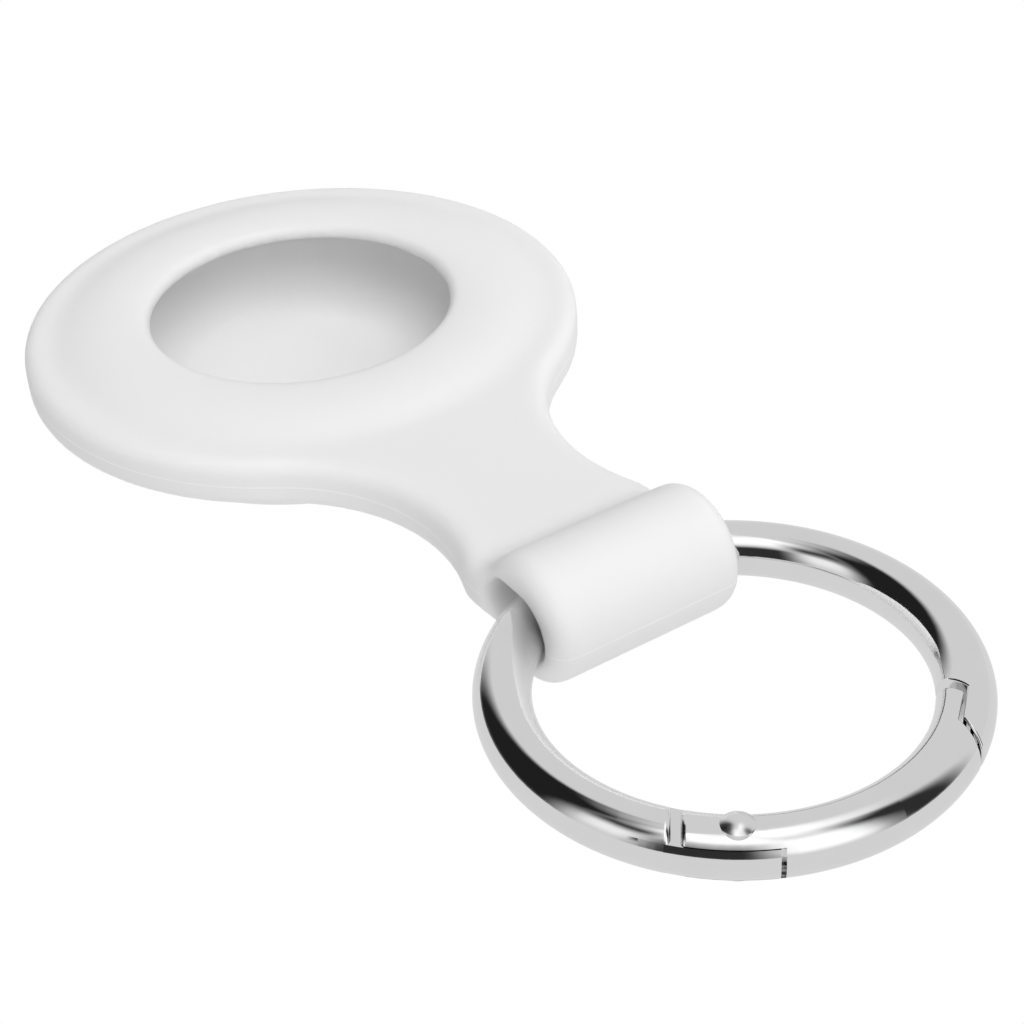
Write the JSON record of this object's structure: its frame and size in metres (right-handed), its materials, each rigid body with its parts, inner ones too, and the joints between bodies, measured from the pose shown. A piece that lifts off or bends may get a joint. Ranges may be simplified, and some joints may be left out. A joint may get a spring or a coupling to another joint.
{
  "type": "tracker tag holder",
  "caption": "White soft moulded pouch with a round window, a waisted strap and a loop that carries a chrome ring with a sprung hinged gate, made to hold a coin-shaped tracker tag.",
  "frame": {"origin": "middle of the pouch's flat underside", "axes": "+X along the strap towards the ring, +Y along the hole in the loop, +Z out of the pouch's window"},
  "size_m": [0.0848, 0.04, 0.0106],
  "materials": {
    "silicone": "matte",
    "ring_chrome": "polished",
    "spring_steel": "bright"
  },
  "bodies": {
    "holder": {"holder_body": "silicone"},
    "ring": {"ring_body": "ring_chrome"},
    "gate": {"ring_gate": "ring_chrome", "gate_rivet": "ring_chrome", "gate_spring": "spring_steel"},
    "plunger": {"gate_plunger": "spring_steel"}
  },
  "joints": [
    {"name": "ring_swing", "type": "hinge", "parent": "holder", "child": "ring", "pos_m": [0.03778, 0, 0.006], "axis": [0, -1, 0], "range_deg": [-150, 150]},
    {"name": "gate_swing", "type": "hinge", "parent": "ring", "child": "gate", "pos_m": [0.06048, -0.00789, 0.006], "axis": [0, 0, 1], "range_deg": [0, 25], "stiffness_Nm_per_rad": 0.02, "springref_deg": -17.19},
    {"name": "plunger_slide", "type": "slide", "parent": "gate", "child": "plunger", "axis": [0.6032, 0.7976, 0], "range_m": [0, 0.0007], "deforming": ["gate_spring"]}
  ],
  "couplings": [
    {"joint": "plunger_slide", "follows": "gate_swing", "m_per_rad": 0.00125}
  ]
}
